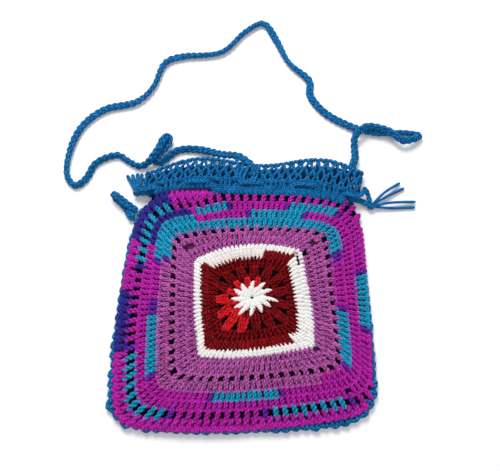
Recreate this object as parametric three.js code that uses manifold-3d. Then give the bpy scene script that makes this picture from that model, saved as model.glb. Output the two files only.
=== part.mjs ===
// A crocheted drawstring shoulder bag, lying on its back on a table.
// Two granny squares are joined round three sides by a crocheted edge, an open
// mesh band worked round their top edges makes the mouth, a drawstring is woven
// through the band, and one long braided cord is the shoulder strap.
// Millimetres. +Z is up, +Y points from the bag's bottom to its mouth, and the
// origin is on the table under the middle of the bag.

import * as THREE from "three";
import { mergeVertices } from "three/addons/utils/BufferGeometryUtils.js";
import Module from "manifold-3d";

const wasm = await Module();
wasm.setup();

// Overall sizes
const BAG_WIDTH = 257; // over the joining edge, at its widest
const BAG_LENGTH = 279; // from the bottom edge to the highest wave of the lip
const MOUTH_TAPER = 15; // how much each side leans in from the bottom to the mouth
const MOUTH_LEAN = 5; // how far the whole bag bends to the right, LEAN_SPAN above LEAN_FROM
const LEAN_FROM = 20;
const LEAN_SPAN = 75;

// Crocheted fabric
const SQUARE_THICKNESS = 4;
const EDGE_WIDTH = 6; // the joining edge, outwards from the squares
const LEFT_CORNER = 18; // how far the bottom corners are rounded
const RIGHT_CORNER = 34;
const BOTTOM_BOW = 7; // how far the bottom edge swells past its corners
const BOW_LEAN = -50; // and where its swelling is drawn to
const CENTRE = new THREE.Vector2(8, -12); // the middle of the rounds
const EDGE_DROP = 6; // how far below the band the joining edge starts
const SEAM_GAP = 0.3; // between pieces that are worked together

// Mouth band
const BAND_WALL = 3;
const LAYER_SPACING = 8; // between the band's two layers at its ends
const MOUTH_RISE = 14; // how much further the front layer stands up at the middle
const BASE_ROW = 7;
const EYELET_ROW = 7;
const BAR_ROW = 4;
const MESH_ROW = 5;
const LIP_ROW = 3;
const MESH_PITCH = 9; // about, along the band: it is evened out to fit the band's length
const MESH_POST = 3.5;
const EYELET_EVERY = 3; // posts from one drawstring eyelet to the next
const BAND_FLARE = 8; // how far the band's ends reach past the squares' top corners
const LIP_WAVE = 135; // from the crest of one wave of the lip to the next
const LIP_CREST = -60; // where the left wave is highest
const LIP_RISE = 3; // how far the lip reaches past its rows, on the middle line
const LIP_SLOPE = 0.035; // how much more it reaches to the right
const LIP_RIPPLE = 2.7; // and at its crests

// Cords
const STRAP_DIAMETER = 6.6;
const STRING_DIAMETER = 3.6;
const LOOP_DIAMETER = 5;
const YARN_DIAMETER = 2.6;
const KNOT_RADIUS = 4;
const STRING_CLEARANCE = 0.6;

// How finely the soft solids are faceted
const OUTLINE_POINTS = 48;
const SEAM_POINTS = 18;
const SQUARE_RINGS = 7;
const END_STEPS = 5;
const CORD_SIDES = 8;

// Sizes that follow
const rowHeights = [BASE_ROW, EYELET_ROW, BAR_ROW, MESH_ROW, BAR_ROW, MESH_ROW, LIP_ROW];
const bandHeight = rowHeights.reduce((sum, height) => sum + height, 0);
const squareHalf = BAG_WIDTH / 2 - EDGE_WIDTH - SEAM_GAP;
const squareTopHalf = squareHalf - MOUTH_TAPER;
const squareBottom = -BAG_LENGTH / 2 + EDGE_WIDTH + SEAM_GAP;
const bandHalf = squareTopHalf + BAND_FLARE - LAYER_SPACING / 2 - BAND_WALL / 2; // where the layers start to turn
const eyeletSteps = Math.round((2 * bandHalf / MESH_PITCH - 2) / EYELET_EVERY);
const meshHoles = eyeletSteps * EYELET_EVERY + 2; // so that the eyelets come out even at both ends
const meshPitch = (2 * bandHalf - MESH_POST) / meshHoles;
const meshHole = meshPitch - MESH_POST;
const edgeHeight = 2 * SQUARE_THICKNESS + 2 * SEAM_GAP;
const backLayer = BAND_WALL / 2; // height of the band's back layer, at its middle

// The bend to the right: every x below is measured before it.
const lean = (y) => MOUTH_LEAN * (Math.max(0, y - LEAN_FROM) / LEAN_SPAN) ** 2;

// The seam between squares and band droops to the right and at both ends.
const SEAM_SLOPE = -0.035;
const SEAM_DROOP = 6;
const seamShape = (x) => SEAM_SLOPE * x - SEAM_DROOP * (x / squareTopHalf) ** 4;

// The lip waves up and down along the band, and so does the height at which it stands open.
const ripple = (x) => Math.cos((2 * Math.PI * (x - LIP_CREST)) / LIP_WAVE);
const lipReach = (x) => LIP_RISE + LIP_SLOPE * x + LIP_RIPPLE * ripple(x);
const lipWave = (x) => 0.7 + 0.3 * ripple(x);

// The band's rows are set so that the highest wave of the lip is half the bag's length from the middle.
const LIP_SEARCH = 200;
const lipCrest = Math.max(
  ...Array.from({ length: LIP_SEARCH + 1 }, (_, i) => (2 * i / LIP_SEARCH - 1) * bandHalf)
    .map((x) => seamShape(x) + lipReach(x)),
);
const seamY = (x) => BAG_LENGTH / 2 - bandHeight - lipCrest + seamShape(x);

// How far the front layer of the mouth stands above its ends, from 0 to 1.
const mouthSwell = (x) => 1 - Math.min(1, Math.abs(x) / bandHalf) ** 4;

// Where the band is at x, an offset above the seam: it stretches above the eyelets to the wavy lip.
const eyeletTop = BASE_ROW + EYELET_ROW;
function bandY(x, offset) {
  const stretch = Math.max(0, offset - eyeletTop) / (bandHeight - eyeletTop);
  return seamY(x) + offset + stretch * lipReach(x);
}

// Height of the middle of the front layer, where share runs from 0 at the seam to 1 at the lip.
function frontLayer(x, share) {
  const wave = THREE.MathUtils.lerp(1, lipWave(x), share);
  return backLayer + LAYER_SPACING + MOUTH_RISE * mouthSwell(x) * wave;
}

// Closed surface from quads and triangles that index a list of points
function surface(points, faces) {
  const triangles = faces.flatMap((f) => (f.length === 3 ? f : [f[0], f[1], f[2], f[0], f[2], f[3]]));
  const geometry = new THREE.BufferGeometry().setFromPoints(points);
  geometry.setIndex(triangles);
  geometry.computeVertexNormals();
  return geometry;
}

// The squares' edge from the mouth's left end, round the bottom, to its right end
function joinedSide() {
  const topLeft = new THREE.Vector2(-squareTopHalf, seamY(-squareTopHalf) - SEAM_GAP);
  const topRight = new THREE.Vector2(squareTopHalf, seamY(squareTopHalf) - SEAM_GAP);
  const cornerY = squareBottom + BOTTOM_BOW;
  const left = LEFT_CORNER - squareHalf; // where the corners run into the bottom
  const right = squareHalf - RIGHT_CORNER;
  const leftTurn = cornerY + (LEFT_CORNER * 2 * BOTTOM_BOW) / (BOW_LEAN - left);
  const rightTurn = cornerY + (RIGHT_CORNER * 2 * BOTTOM_BOW) / (right - BOW_LEAN);
  const path = new THREE.Path();
  path.moveTo(topLeft.x, topLeft.y);
  path.quadraticCurveTo(-squareHalf, topLeft.y / 2, -squareHalf, cornerY + LEFT_CORNER);
  path.quadraticCurveTo(-squareHalf, leftTurn, left, cornerY);
  path.quadraticCurveTo(BOW_LEAN, cornerY - 2 * BOTTOM_BOW, right, cornerY);
  path.quadraticCurveTo(squareHalf, rightTurn, squareHalf, cornerY + RIGHT_CORNER);
  path.quadraticCurveTo(squareHalf, topRight.y / 2, topRight.x, topRight.y);
  return path;
}

// Points round a whole square, each with how firmly it is held down to the other square
function squareOutline() {
  const bent = (x, y) => new THREE.Vector2(x + lean(y), y);
  const joined = joinedSide().getSpacedPoints(OUTLINE_POINTS);
  const outline = joined.map(({ x, y }) => ({ at: bent(x, y), held: 1 }));
  for (let i = 1; i < SEAM_POINTS; i++) {
    const x = squareTopHalf * (1 - (2 * i) / SEAM_POINTS);
    outline.push({ at: bent(x, seamY(x) - SEAM_GAP), held: 1 - mouthSwell(x) });
  }
  return outline;
}

// A square whose layers of points run in rings from CENTRE to its outline
function square(underside) {
  const outline = squareOutline();
  const count = outline.length;
  const points = [];
  for (const thickness of [SQUARE_THICKNESS, 0]) {
    points.push(new THREE.Vector3(CENTRE.x, CENTRE.y, underside(0, 0) + thickness));
    for (let ring = 1; ring <= SQUARE_RINGS; ring++) {
      const share = ring / SQUARE_RINGS;
      for (const { at, held } of outline) {
        const place = CENTRE.clone().lerp(at, share);
        points.push(new THREE.Vector3(place.x, place.y, underside(share, held) + thickness));
      }
    }
  }
  const half = points.length / 2;
  const at = (ring, i) => 1 + (ring - 1) * count + (i % count);
  const faces = [];
  for (let i = 0; i < count; i++) {
    faces.push([0, at(1, i), at(1, i + 1)], [half, half + at(1, i + 1), half + at(1, i)]);
    for (let ring = 1; ring < SQUARE_RINGS; ring++) {
      const quad = [at(ring, i), at(ring + 1, i), at(ring + 1, i + 1), at(ring, i + 1)];
      faces.push(quad, quad.map((v) => half + v).reverse());
    }
    const [a, b] = [at(SQUARE_RINGS, i), at(SQUARE_RINGS, i + 1)];
    faces.push([a, half + a, half + b, b]);
  }
  return surface(points, faces);
}

// The front square rises from its held edges to the height of the open mouth.
function frontSquare() {
  const edge = SQUARE_THICKNESS + SEAM_GAP;
  const rise = frontLayer(0, 0) - SQUARE_THICKNESS / 2 - edge;
  return square((share, held) => edge + rise * (1 - held * share ** 4));
}

const backSquare = () => square(() => 0);

// The crocheted edge: a rounded strip swept round the joined sides
function joiningEdge() {
  const SECTION = [[0, 0], [0.7, 0], [1, 0.25], [1, 0.75], [0.7, 1], [0, 1]]; // shares of width, height
  const path = joinedSide();
  const start = EDGE_DROP / path.getLength();
  const points = [];
  for (let i = 0; i <= OUTLINE_POINTS; i++) {
    const share = THREE.MathUtils.clamp(i / OUTLINE_POINTS, start, 1 - start);
    const tangent = path.getTangentAt(share);
    const outward = new THREE.Vector2(tangent.y, -tangent.x);
    const base = path.getPointAt(share);
    for (const [across, up] of SECTION) {
      const place = base.clone().addScaledVector(outward, SEAM_GAP + across * EDGE_WIDTH);
      points.push(new THREE.Vector3(place.x + lean(place.y), place.y, up * edgeHeight));
    }
  }
  const sides = SECTION.length;
  const faces = [];
  for (let i = 0; i < OUTLINE_POINTS; i++) {
    for (let k = 0; k < sides; k++) {
      const next = (k + 1) % sides;
      faces.push([i * sides + k, (i + 1) * sides + k, (i + 1) * sides + next, i * sides + next]);
    }
  }
  const last = OUTLINE_POINTS * sides;
  for (let k = 1; k < sides - 1; k++) {
    faces.push([0, k, k + 1], [last, last + k + 1, last + k]);
  }
  return surface(points, faces);
}

// The columns of the band: x at each edge of a post or hole, then round an end, for each layer
function bandColumns() {
  const columns = [];
  for (const side of [1, -1]) {
    for (let post = 0; post <= meshHoles; post++) {
      const x = side * (-bandHalf + post * meshPitch);
      columns.push({ x, side, post, hole: false });
      columns.push({ x: x + side * MESH_POST, side, post, hole: post < meshHoles, end: post === meshHoles });
    }
    for (let step = 1; step < END_STEPS; step++) {
      columns.push({ x: side * bandHalf, side, turn: (Math.PI * step) / END_STEPS, end: true });
    }
  }
  return columns;
}

// One point of the band: outer is 1 on its outside face and -1 on its inside face.
function bandPoint({ x, side, turn }, offset, outer) {
  const share = offset / bandHeight;
  const wall = (outer * BAND_WALL) / 2;
  const y = bandY(x, offset);
  if (turn === undefined) {
    const z = side === 1 ? frontLayer(x, share) + wall : backLayer - wall;
    return new THREE.Vector3(x + lean(y), y, z);
  }
  const radius = LAYER_SPACING / 2 + wall;
  const reach = side * Math.sin(turn) * radius;
  const height = backLayer + LAYER_SPACING / 2 + side * Math.cos(turn) * radius;
  return new THREE.Vector3(x + reach + lean(y), y, height);
}

// Whether a cell of the band is fabric: row 1 has the drawstring's eyelets, rows 3 and 5 the mesh.
function isFabric(column, row) {
  if (row === 1) {
    if (column.end) return false;
    const past = column.post % EYELET_EVERY;
    const nearEyelet = column.hole ? past <= 1 : past === 1;
    return column.side === -1 || !nearEyelet;
  }
  return !(column.hole && (row === 3 || row === 5));
}

function mouthBand() {
  const columns = bandColumns();
  const offsets = rowHeights.reduce((list, height) => [...list, list.at(-1) + height], [0]);
  const rows = rowHeights.length;
  const wide = columns.length;
  const points = [];
  for (const outer of [1, -1]) {
    for (const offset of offsets) {
      points.push(...columns.map((column) => bandPoint(column, offset, outer)));
    }
  }
  const inner = points.length / 2;
  const at = (i, row) => row * wide + ((i + wide) % wide);
  const fabric = (i, row) => row >= 0 && row < rows && isFabric(columns[(i + wide) % wide], row);
  const faces = [];
  for (let i = 0; i < wide; i++) {
    for (let row = 0; row < rows; row++) {
      if (!fabric(i, row)) continue;
      const [a, b, c, d] = [at(i, row), at(i + 1, row), at(i + 1, row + 1), at(i, row + 1)];
      faces.push([a, b, c, d], [inner + d, inner + c, inner + b, inner + a]);
      if (!fabric(i, row - 1)) faces.push([b, a, inner + a, inner + b]);
      if (!fabric(i, row + 1)) faces.push([d, c, inner + c, inner + d]);
      if (!fabric(i - 1, row)) faces.push([a, d, inner + d, inner + a]);
      if (!fabric(i + 1, row)) faces.push([c, b, inner + b, inner + c]);
    }
  }
  return surface(points, faces);
}

// A round cord along a list of points
function cord(route, diameter, steps) {
  const section = new THREE.Shape().absarc(0, 0, diameter / 2, 0, 2 * Math.PI);
  const path = new THREE.CatmullRomCurve3(route, false, "centripetal");
  return new THREE.ExtrudeGeometry(section, {
    steps,
    curveSegments: CORD_SIDES / 2, // a full circle gets two points for each
    bevelEnabled: false,
    extrudePath: path,
  });
}

const vectors = (list) => list.map((point) => new THREE.Vector3(...point));

// The knots beside the band's two ends, where the two drawstrings are tied together
const eyeletY = (x) => seamY(x) + BASE_ROW + EYELET_ROW / 2;
function besideBand(end, across, along, z) {
  const y = eyeletY(end * bandHalf);
  return new THREE.Vector3(end * (bandHalf + across) + lean(y), y + along, z);
}
const LEFT_KNOT = besideBand(-1, 10.5, -0.5, 6.5);
const RIGHT_KNOT = besideBand(1, 17.5, -7.5, 5);
const knotFace = (knot, x, y, z) =>
  knot.clone().addScaledVector(new THREE.Vector3(x, y, z).normalize(), KNOT_RADIUS + SEAM_GAP);

const eyeletShare = (BASE_ROW + EYELET_ROW / 2) / bandHeight;
const stringOffset = BAND_WALL / 2 + STRING_DIAMETER / 2 + STRING_CLEARANCE;

// The front drawstring passes out and in through every eyelet, then down to a knot at each end.
function frontStringRoute() {
  const crossing = (2 * meshHole + MESH_POST) / 2; // half the length over which it changes side
  const eyelets = [];
  for (let post = 1; post <= meshHoles; post += EYELET_EVERY) {
    eyelets.push(-bandHalf + MESH_POST / 2 + post * meshPitch);
  }
  const sideAt = (x) =>
    eyelets.reduce((side, eyelet) => {
      const past = THREE.MathUtils.clamp((x - eyelet) / crossing, -1, 1);
      return side * (Math.abs(past) < 1 ? -Math.sin((past * Math.PI) / 2) : -Math.sign(past));
    }, 1);
  const woven = [];
  const STEP = meshPitch / 3;
  for (let x = -bandHalf; x <= bandHalf + STEP / 2; x += STEP) {
    const y = eyeletY(x);
    woven.push(new THREE.Vector3(x + lean(y), y, frontLayer(x, eyeletShare) + sideAt(x) * stringOffset));
  }
  return [
    knotFace(LEFT_KNOT, 0.6, 0, 0.8),
    besideBand(-1, 5.5, 0, 14),
    ...woven,
    besideBand(1, 7.5, 2.5, 13),
    besideBand(1, 9.8, 7, 11.5),
    besideBand(1, 12, 10.5, 9.5),
    besideBand(1, 14.5, 6, 7.5),
    besideBand(1, 16.5, -1, 6),
    knotFace(RIGHT_KNOT, -0.2, 0.97, 0.15),
  ];
}

// The back drawstring lies inside the band on its back layer and leaves through both ends.
function backStringRoute() {
  const height = BAND_WALL + STRING_DIAMETER / 2 + STRING_CLEARANCE;
  const inside = [-bandHalf, -bandHalf / 2, 0, bandHalf / 2, bandHalf];
  return [
    knotFace(LEFT_KNOT, 1, -0.1, -0.1),
    ...inside.map((x) => new THREE.Vector3(x + lean(eyeletY(x)), eyeletY(x), height)),
    besideBand(1, 9, -2.5, height),
    knotFace(RIGHT_KNOT, -0.86, 0.5, 0),
  ];
}

// The strap, from where it is sewn to the front of the band, round the table, to the lip's right end
const STRAP_ROUTE = [
  [-3, 140, 22.3], [-12, 144.5, 18.5], [-26, 149.5, 11.2], [-48, 158.5, 4], [-70, 158.5, 3.5], [-83, 149.5, 3.4],
  [-90.5, 143.5, 3.4], [-96.5, 146, 3.5], [-94.5, 152, 3.6], [-87, 159.5, 3.6], [-82, 167, 4], [-82.5, 172.5, 7],
  [-87.5, 168, 10.4], [-91.5, 158, 10.7], [-98, 147, 10.4], [-105, 141, 5.4], [-114, 139, 3.6], [-125, 145, 3.4],
  [-138, 152, 3.4], [-159, 143, 3.4], [-169, 124, 3.4], [-180.5, 116.5, 3.4], [-190.5, 132, 3.4], [-188, 163, 3.4],
  [-176.5, 189.5, 3.4], [-154, 208.5, 3.4], [-121, 217.5, 3.4], [-102.5, 237, 3.4], [-91, 267.5, 3.4], [-70, 277, 3.4],
  [-27, 282.5, 3.4], [-0.5, 309, 3.4], [21.5, 322, 3.4], [36, 299.5, 3.4], [50, 269, 3.4], [72, 246, 3.4],
  [73.5, 225, 3.4], [90, 203, 3.4], [117, 187, 3.4], [146, 178.5, 3.4], [172, 179.5, 3.4], [191, 175.5, 4.5],
  [172, 166.5, 9.5], [157, 177.5, 10.5], [137, 183.5, 10.2], [126, 179, 10.8], [119.5, 171, 8.5], [119, 160, 5],
  [119, 148, 6.5],
];
const STRAP_START = 0; // where along the band it is sewn on, in the valley between the lip's two waves
const STRAP_SEWN = [19, 28]; // how far above the seam it lies on the band
const STRAP_END = 104; // where along the lip it is sewn on at its other end

function strapRoute() {
  const LEAD = 4; // the strap leaves the lip squarely
  const onBand = STRAP_SEWN.map((offset) => {
    const y = bandY(STRAP_START, offset);
    const surface = frontLayer(STRAP_START, offset / bandHeight) + BAND_WALL / 2;
    return new THREE.Vector3(STRAP_START + lean(y), y, surface + SEAM_GAP + STRAP_DIAMETER / 2);
  });
  const lip = bandY(STRAP_END - STRAP_DIAMETER / 2, bandHeight) + SEAM_GAP;
  const end = [LEAD, 0].map((lead) => new THREE.Vector3(STRAP_END + lean(lip), lip + lead, LAYER_SPACING));
  return [...onBand, ...vectors(STRAP_ROUTE), ...end];
}

// A short braided loop, folded back over itself, that is sewn to the joining edge beside the mouth.
// Its route runs out from the edge and back under itself, and is measured from where it starts.
const LOOP_DROP = 10; // below the mouth's left corner
const LOOP_WIDTH = 8; // between its two ends along the edge
const LOOP_ROUTE = [
  [-9, 4.5, 2.8], [-16, 9.5, 5], [-21, 13.5, 5.6], [-25.5, 16.8, 2], [-22, 13, -1.2], [-16, 7.5, -1.4], [-10, 0.5, -1.4],
];

function loopRoute() {
  const FINE = 400;
  const LEAD = 4; // the loop leaves the edge squarely
  const points = joinedSide().getSpacedPoints(FINE).filter((point) => point.x < 0);
  const side = points.map(({ x, y }) => new THREE.Vector2(x + lean(y), y));
  const outside = (y, lead) => {
    const near = side.findIndex((point) => point.y < y);
    const along = side[near + 1].clone().sub(side[near]).normalize();
    const outward = new THREE.Vector2(along.y, -along.x);
    const place = side[near].clone().addScaledVector(outward, EDGE_WIDTH + 2.5 * SEAM_GAP + lead);
    return new THREE.Vector3(place.x, place.y, edgeHeight / 2);
  };
  const upper = seamY(-squareTopHalf) - LOOP_DROP;
  const start = outside(upper, 0);
  const bent = vectors(LOOP_ROUTE).map((offset) => offset.add(start));
  const lower = upper - LOOP_WIDTH;
  return [start, outside(upper, LEAD), ...bent, outside(lower, LEAD), outside(lower, 0)];
}

// manifold-3d solids, for the pieces that are joined from several
function solidOf(geometry) {
  const bare = geometry.clone();
  bare.deleteAttribute("normal");
  bare.deleteAttribute("uv");
  const merged = mergeVertices(bare, 1e-3);
  const vertProperties = merged.getAttribute("position").array;
  const triVerts = new Uint32Array(merged.index.array);
  return new wasm.Manifold(new wasm.Mesh({ numProp: 3, vertProperties, triVerts }));
}

function geometryOf(solid) {
  const mesh = solid.getMesh();
  const geometry = new THREE.BufferGeometry();
  geometry.setAttribute("position", new THREE.BufferAttribute(mesh.vertProperties, 3));
  geometry.setIndex(new THREE.BufferAttribute(mesh.triVerts, 1));
  geometry.computeVertexNormals();
  return geometry;
}

// A knot with the cut yarn ends that come out of it, each by way of one bend, measured from the knot
function tassel(knot, ends) {
  const KNOT_FACETS = 12;
  const TAIL_STEPS = 6;
  const ball = new THREE.SphereGeometry(KNOT_RADIUS, KNOT_FACETS, KNOT_FACETS / 2);
  ball.rotateX(Math.PI / 2).translate(knot.x, knot.y, knot.z);
  return ends.reduce((solid, bends) => {
    const route = [knot.clone(), ...vectors(bends).map((bend) => bend.add(knot))];
    return solid.add(solidOf(cord(route, YARN_DIAMETER, TAIL_STEPS)));
  }, solidOf(ball));
}

const LEFT_ENDS = [
  [[-4, 8, -1.5], [-12, 22, -4.9]],
  [[-2, 9, -0.5], [-6.5, 23, -4.4]],
  [[0.5, 10, 0], [-1, 24, -4]],
  [[3, 9, 1], [4, 23, -3]],
];
const RIGHT_ENDS = [
  [[15, 15, 1], [33, 28, -3.3]],
  [[19, 12.5, -1.5], [37, 22, -3.3]],
  [[21, 4, 0], [48, 6, -2.5]],
  [[21, -1, -2.5], [47, 0, -3.3]],
];

// Yarns
const yarn = (color) => new THREE.MeshStandardMaterial({ color, roughness: 0.9, metalness: 0 });
const magentaYarn = yarn(0xa8258f);
const blueYarn = yarn(0x1465a0);
const cordYarn = yarn(0x1668a8);

const bag = new THREE.Group();
function add(name, geometry, material) {
  const mesh = new THREE.Mesh(geometry, material);
  mesh.name = name;
  bag.add(mesh);
}

const STRAP_STEPS = 130;
const STRING_STEPS = 84;
const BACK_STRING_STEPS = 30;
const LOOP_STEPS = 36;

add("front_square", frontSquare(), magentaYarn);
add("back_square", backSquare(), magentaYarn);
add("joining_edge", joiningEdge(), blueYarn);
add("mouth_band", mouthBand(), blueYarn);
add("front_drawstring", cord(frontStringRoute(), STRING_DIAMETER, STRING_STEPS), cordYarn);
add("back_drawstring", cord(backStringRoute(), STRING_DIAMETER, BACK_STRING_STEPS), cordYarn);
add("left_tassel", geometryOf(tassel(LEFT_KNOT, LEFT_ENDS)), cordYarn);
add("right_tassel", geometryOf(tassel(RIGHT_KNOT, RIGHT_ENDS)), cordYarn);
add("shoulder_strap", cord(strapRoute(), STRAP_DIAMETER, STRAP_STEPS), cordYarn);
add("side_loop", cord(loopRoute(), LOOP_DIAMETER, LOOP_STEPS), cordYarn);

export default bag;
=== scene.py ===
"""A crocheted drawstring shoulder bag on a pale table, modelled stitch by stitch in tubes of yarn."""

import math

import bpy
import numpy as np
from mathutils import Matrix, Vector
from mathutils.bvhtree import BVHTree


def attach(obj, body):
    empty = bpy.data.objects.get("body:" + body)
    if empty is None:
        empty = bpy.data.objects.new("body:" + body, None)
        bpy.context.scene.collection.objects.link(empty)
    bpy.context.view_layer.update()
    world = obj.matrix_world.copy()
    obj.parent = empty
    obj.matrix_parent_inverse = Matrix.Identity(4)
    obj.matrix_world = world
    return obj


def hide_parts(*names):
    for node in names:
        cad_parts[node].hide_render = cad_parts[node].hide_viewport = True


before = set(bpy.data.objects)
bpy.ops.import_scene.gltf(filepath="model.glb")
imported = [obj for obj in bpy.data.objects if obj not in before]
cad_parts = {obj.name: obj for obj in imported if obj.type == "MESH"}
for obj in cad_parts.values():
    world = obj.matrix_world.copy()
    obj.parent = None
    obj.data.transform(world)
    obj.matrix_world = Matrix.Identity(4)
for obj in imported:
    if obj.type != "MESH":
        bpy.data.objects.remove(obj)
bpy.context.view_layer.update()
rng = np.random.default_rng(7)

# Sizes below are in millimetres, as in the part's source.
MM = 0.001

# The part's own sizes, which the stitches are worked to
SQUARE_HALF = 122.2
SQUARE_TOP_HALF = 107.2
SQUARE_BOTTOM = -133.2
BOTTOM_BOW = 7
BOW_LEAN = -50
LEFT_CORNER = 18
RIGHT_CORNER = 34
EDGE_WIDTH = 6
EDGE_HEIGHT = 8.6
SEAM_GAP = 0.3
SEAM_SLOPE = 0.035
SEAM_DROP = 6
BAND_HALF = 109.7
BAND_HEIGHT = 35
LAYER_SPACING = 8
MOUTH_RISE = 14
BACK_LAYER = 1.5
EYELET_MIDDLE = 10.5
EYELET_TOP = 14
MESH_PITCH = 9.387
BAG_TOP = 139.5
BEND = 5
BEND_START = 20
BEND_LENGTH = 75
LIP_CREST = -60
LIP_WAVE = 135
LIP_RISE = 3
LIP_SLOPE = 0.035
LIP_RIPPLE = 2.7
LIP_HEIGHT_MEAN = 0.7
LIP_HEIGHT_SWING = 0.3


def lean(y):
    """How far the bag is bent to the right at y."""
    return BEND * (np.maximum(0, y - BEND_START) / BEND_LENGTH) ** 2


def leaned(x, y, z):
    """Points from places before the bend."""
    return np.stack(np.broadcast_arrays(x + lean(y), y, z), axis=-1)


def seam_shape(x):
    """How far the seam of squares and band rises at x, before the bend."""
    return -SEAM_SLOPE * x - SEAM_DROP * (x / SQUARE_TOP_HALF) ** 4


def ripple(x):
    """The wave of the lip, from -1 to 1."""
    return np.cos(2 * np.pi * (x - LIP_CREST) / LIP_WAVE)


def lip_reach(x):
    """How far the lip is stretched at x."""
    return LIP_RISE + LIP_SLOPE * x + LIP_RIPPLE * ripple(x)


ALONG_BAND = np.linspace(-BAND_HALF, BAND_HALF, 201)
LIP_TOP = (seam_shape(ALONG_BAND) + lip_reach(ALONG_BAND)).max()


def seam_y(x):
    """Where the squares end and the mouth band starts, before the bend."""
    return BAG_TOP - BAND_HEIGHT - LIP_TOP + seam_shape(x)


def band_y(x, offset):
    """Where the band is at x, an offset above the seam: it stretches above the eyelets to the wavy lip."""
    stretch = np.maximum(0, offset - EYELET_TOP) / (BAND_HEIGHT - EYELET_TOP)
    return seam_y(x) + offset + stretch * lip_reach(x)


def front_layer(x, share):
    """Height of the front layer of the band, from the seam (share 0) to the lip (share 1)."""
    swell = 1 - np.minimum(1, np.abs(x) / BAND_HALF) ** 4
    wave = LIP_HEIGHT_MEAN + LIP_HEIGHT_SWING * ripple(x)
    return BACK_LAYER + LAYER_SPACING + MOUTH_RISE * swell * (1 + share * (wave - 1))


# Yarn materials

COLOURS = {
    "white": (0.86, 0.85, 0.83),
    "blush": (0.84, 0.74, 0.70),
    "red": (0.62, 0.010, 0.016),
    "dark_red": (0.17, 0.001, 0.004),
    "lilac": (0.42, 0.09, 0.35),
    "magenta": (0.46, 0.016, 0.37),
    "teal": (0.010, 0.31, 0.52),
    "purple": (0.14, 0.018, 0.34),
    "indigo": (0.032, 0.024, 0.25),
    "blue": (0.006, 0.145, 0.38),
}
# Painted shade: near-black, for the shadowed inside seen through the holes
HOLE_PAINTED_SHADE = (0.004, 0.003, 0.006)

# The darkest and lightest dye of a colour, as shares of it
PLAIN_MOTTLE = (0.58, 1.22)
MOTTLES = {
    "white": (0.79, 0.99),
    "blush": (0.79, 0.99),
    "dark_red": (0.2, 1.7),
    "red": (0.45, 1.3),
    "blue": (0.45, 1.35),
    "lilac": (0.42, 1.38),
}
DYE_POSITIONS = (0.32, 0.72)
DYE_SCALE = 260
DYE_DETAIL = 3
YARN_ROUGHNESS = 0.7
YARN_GLOSS = 0.1
PLIES = 2
PLY_RATE = 2.1  # radians that the plies turn in a millimetre
# Painted highlight and shade: how far the base colour is lighter on the plies' crests and darker in their
# grooves
PLY_HIGHLIGHT_AND_SHADE = 0.2
PLY_RELIEF = 0.5
FIBRE_SCALE = 2600
FIBRE_DETAIL = 2
BUMP_STRENGTH = 0.7
BUMP_DISTANCE = 0.0004

# Painted shade: the ground behind the stitches is darkened to these shares of its colour, for the shaded
# fabric between them
GROUND_PAINTED_SHADE = 0.2
WHITE_GROUND_PAINTED_SHADE = 0.7


def noise(tree, place, scale, detail):
    """Noise over the object's own coordinates."""
    node = tree.nodes.new("ShaderNodeTexNoise")
    node.inputs["Scale"].default_value = scale
    node.inputs["Detail"].default_value = detail
    tree.links.new(place.outputs["Object"], node.inputs["Vector"])
    return node.outputs["Fac"]


def calculate(tree, operation, *values):
    """The result of a math node, from numbers and the outputs of other nodes."""
    node = tree.nodes.new("ShaderNodeMath")
    node.operation = operation
    for socket, value in zip(node.inputs, values):
        if isinstance(value, (int, float)):
            socket.default_value = value
        else:
            tree.links.new(value, socket)
    return node.outputs["Value"]


def yarn_material(name, colour, shade=1.0, gloss=YARN_GLOSS, mottle=PLAIN_MOTTLE):
    """Plied yarn: the twist is raised, with painted highlight on the plies' crests and painted shade in their
    grooves, and the dye varies along it.
    """
    material = bpy.data.materials.new(name)
    material.use_nodes = True
    tree = material.node_tree
    shader = tree.nodes["Principled BSDF"]
    shader.inputs["Roughness"].default_value = YARN_ROUGHNESS
    shader.inputs["Specular IOR Level"].default_value = gloss
    place = tree.nodes.new("ShaderNodeTexCoord")
    split = tree.nodes.new("ShaderNodeSeparateXYZ")
    tree.links.new(place.outputs["UV"], split.inputs["Vector"])
    along = calculate(tree, "MULTIPLY", split.outputs["Y"], PLY_RATE)
    around = calculate(tree, "MULTIPLY_ADD", split.outputs["X"], PLIES * 2 * math.pi, along)
    twist = calculate(tree, "SINE", around)
    dye = noise(tree, place, DYE_SCALE, DYE_DETAIL)
    ramp = tree.nodes.new("ShaderNodeValToRGB")
    for element, position, level in zip(ramp.color_ramp.elements, DYE_POSITIONS, mottle):
        element.position = position
        element.color = (*[min(1, level * shade * c) for c in colour], 1)
    # Painted highlight on the ply crests, painted shade in the grooves
    tree.links.new(calculate(tree, "MULTIPLY_ADD", twist, PLY_HIGHLIGHT_AND_SHADE, dye), ramp.inputs["Fac"])
    tree.links.new(ramp.outputs["Color"], shader.inputs["Base Color"])
    fibre = noise(tree, place, FIBRE_SCALE, FIBRE_DETAIL)
    bump = tree.nodes.new("ShaderNodeBump")
    bump.inputs["Strength"].default_value = BUMP_STRENGTH
    bump.inputs["Distance"].default_value = BUMP_DISTANCE
    tree.links.new(calculate(tree, "MULTIPLY_ADD", twist, PLY_RELIEF, fibre), bump.inputs["Height"])
    tree.links.new(bump.outputs["Normal"], shader.inputs["Normal"])
    return material


# Each colour gets a yarn material, and a ground material darkened as painted shade
MATERIALS = {}
SHADED_GROUNDS = {}
for name, colour in COLOURS.items():
    painted_shade_share = WHITE_GROUND_PAINTED_SHADE if name == "white" else GROUND_PAINTED_SHADE
    MATERIALS[name] = yarn_material("yarn_" + name, colour, mottle=MOTTLES.get(name, PLAIN_MOTTLE))
    SHADED_GROUNDS[name] = yarn_material("painted_shade_" + name, colour, painted_shade_share, gloss=0)
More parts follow.
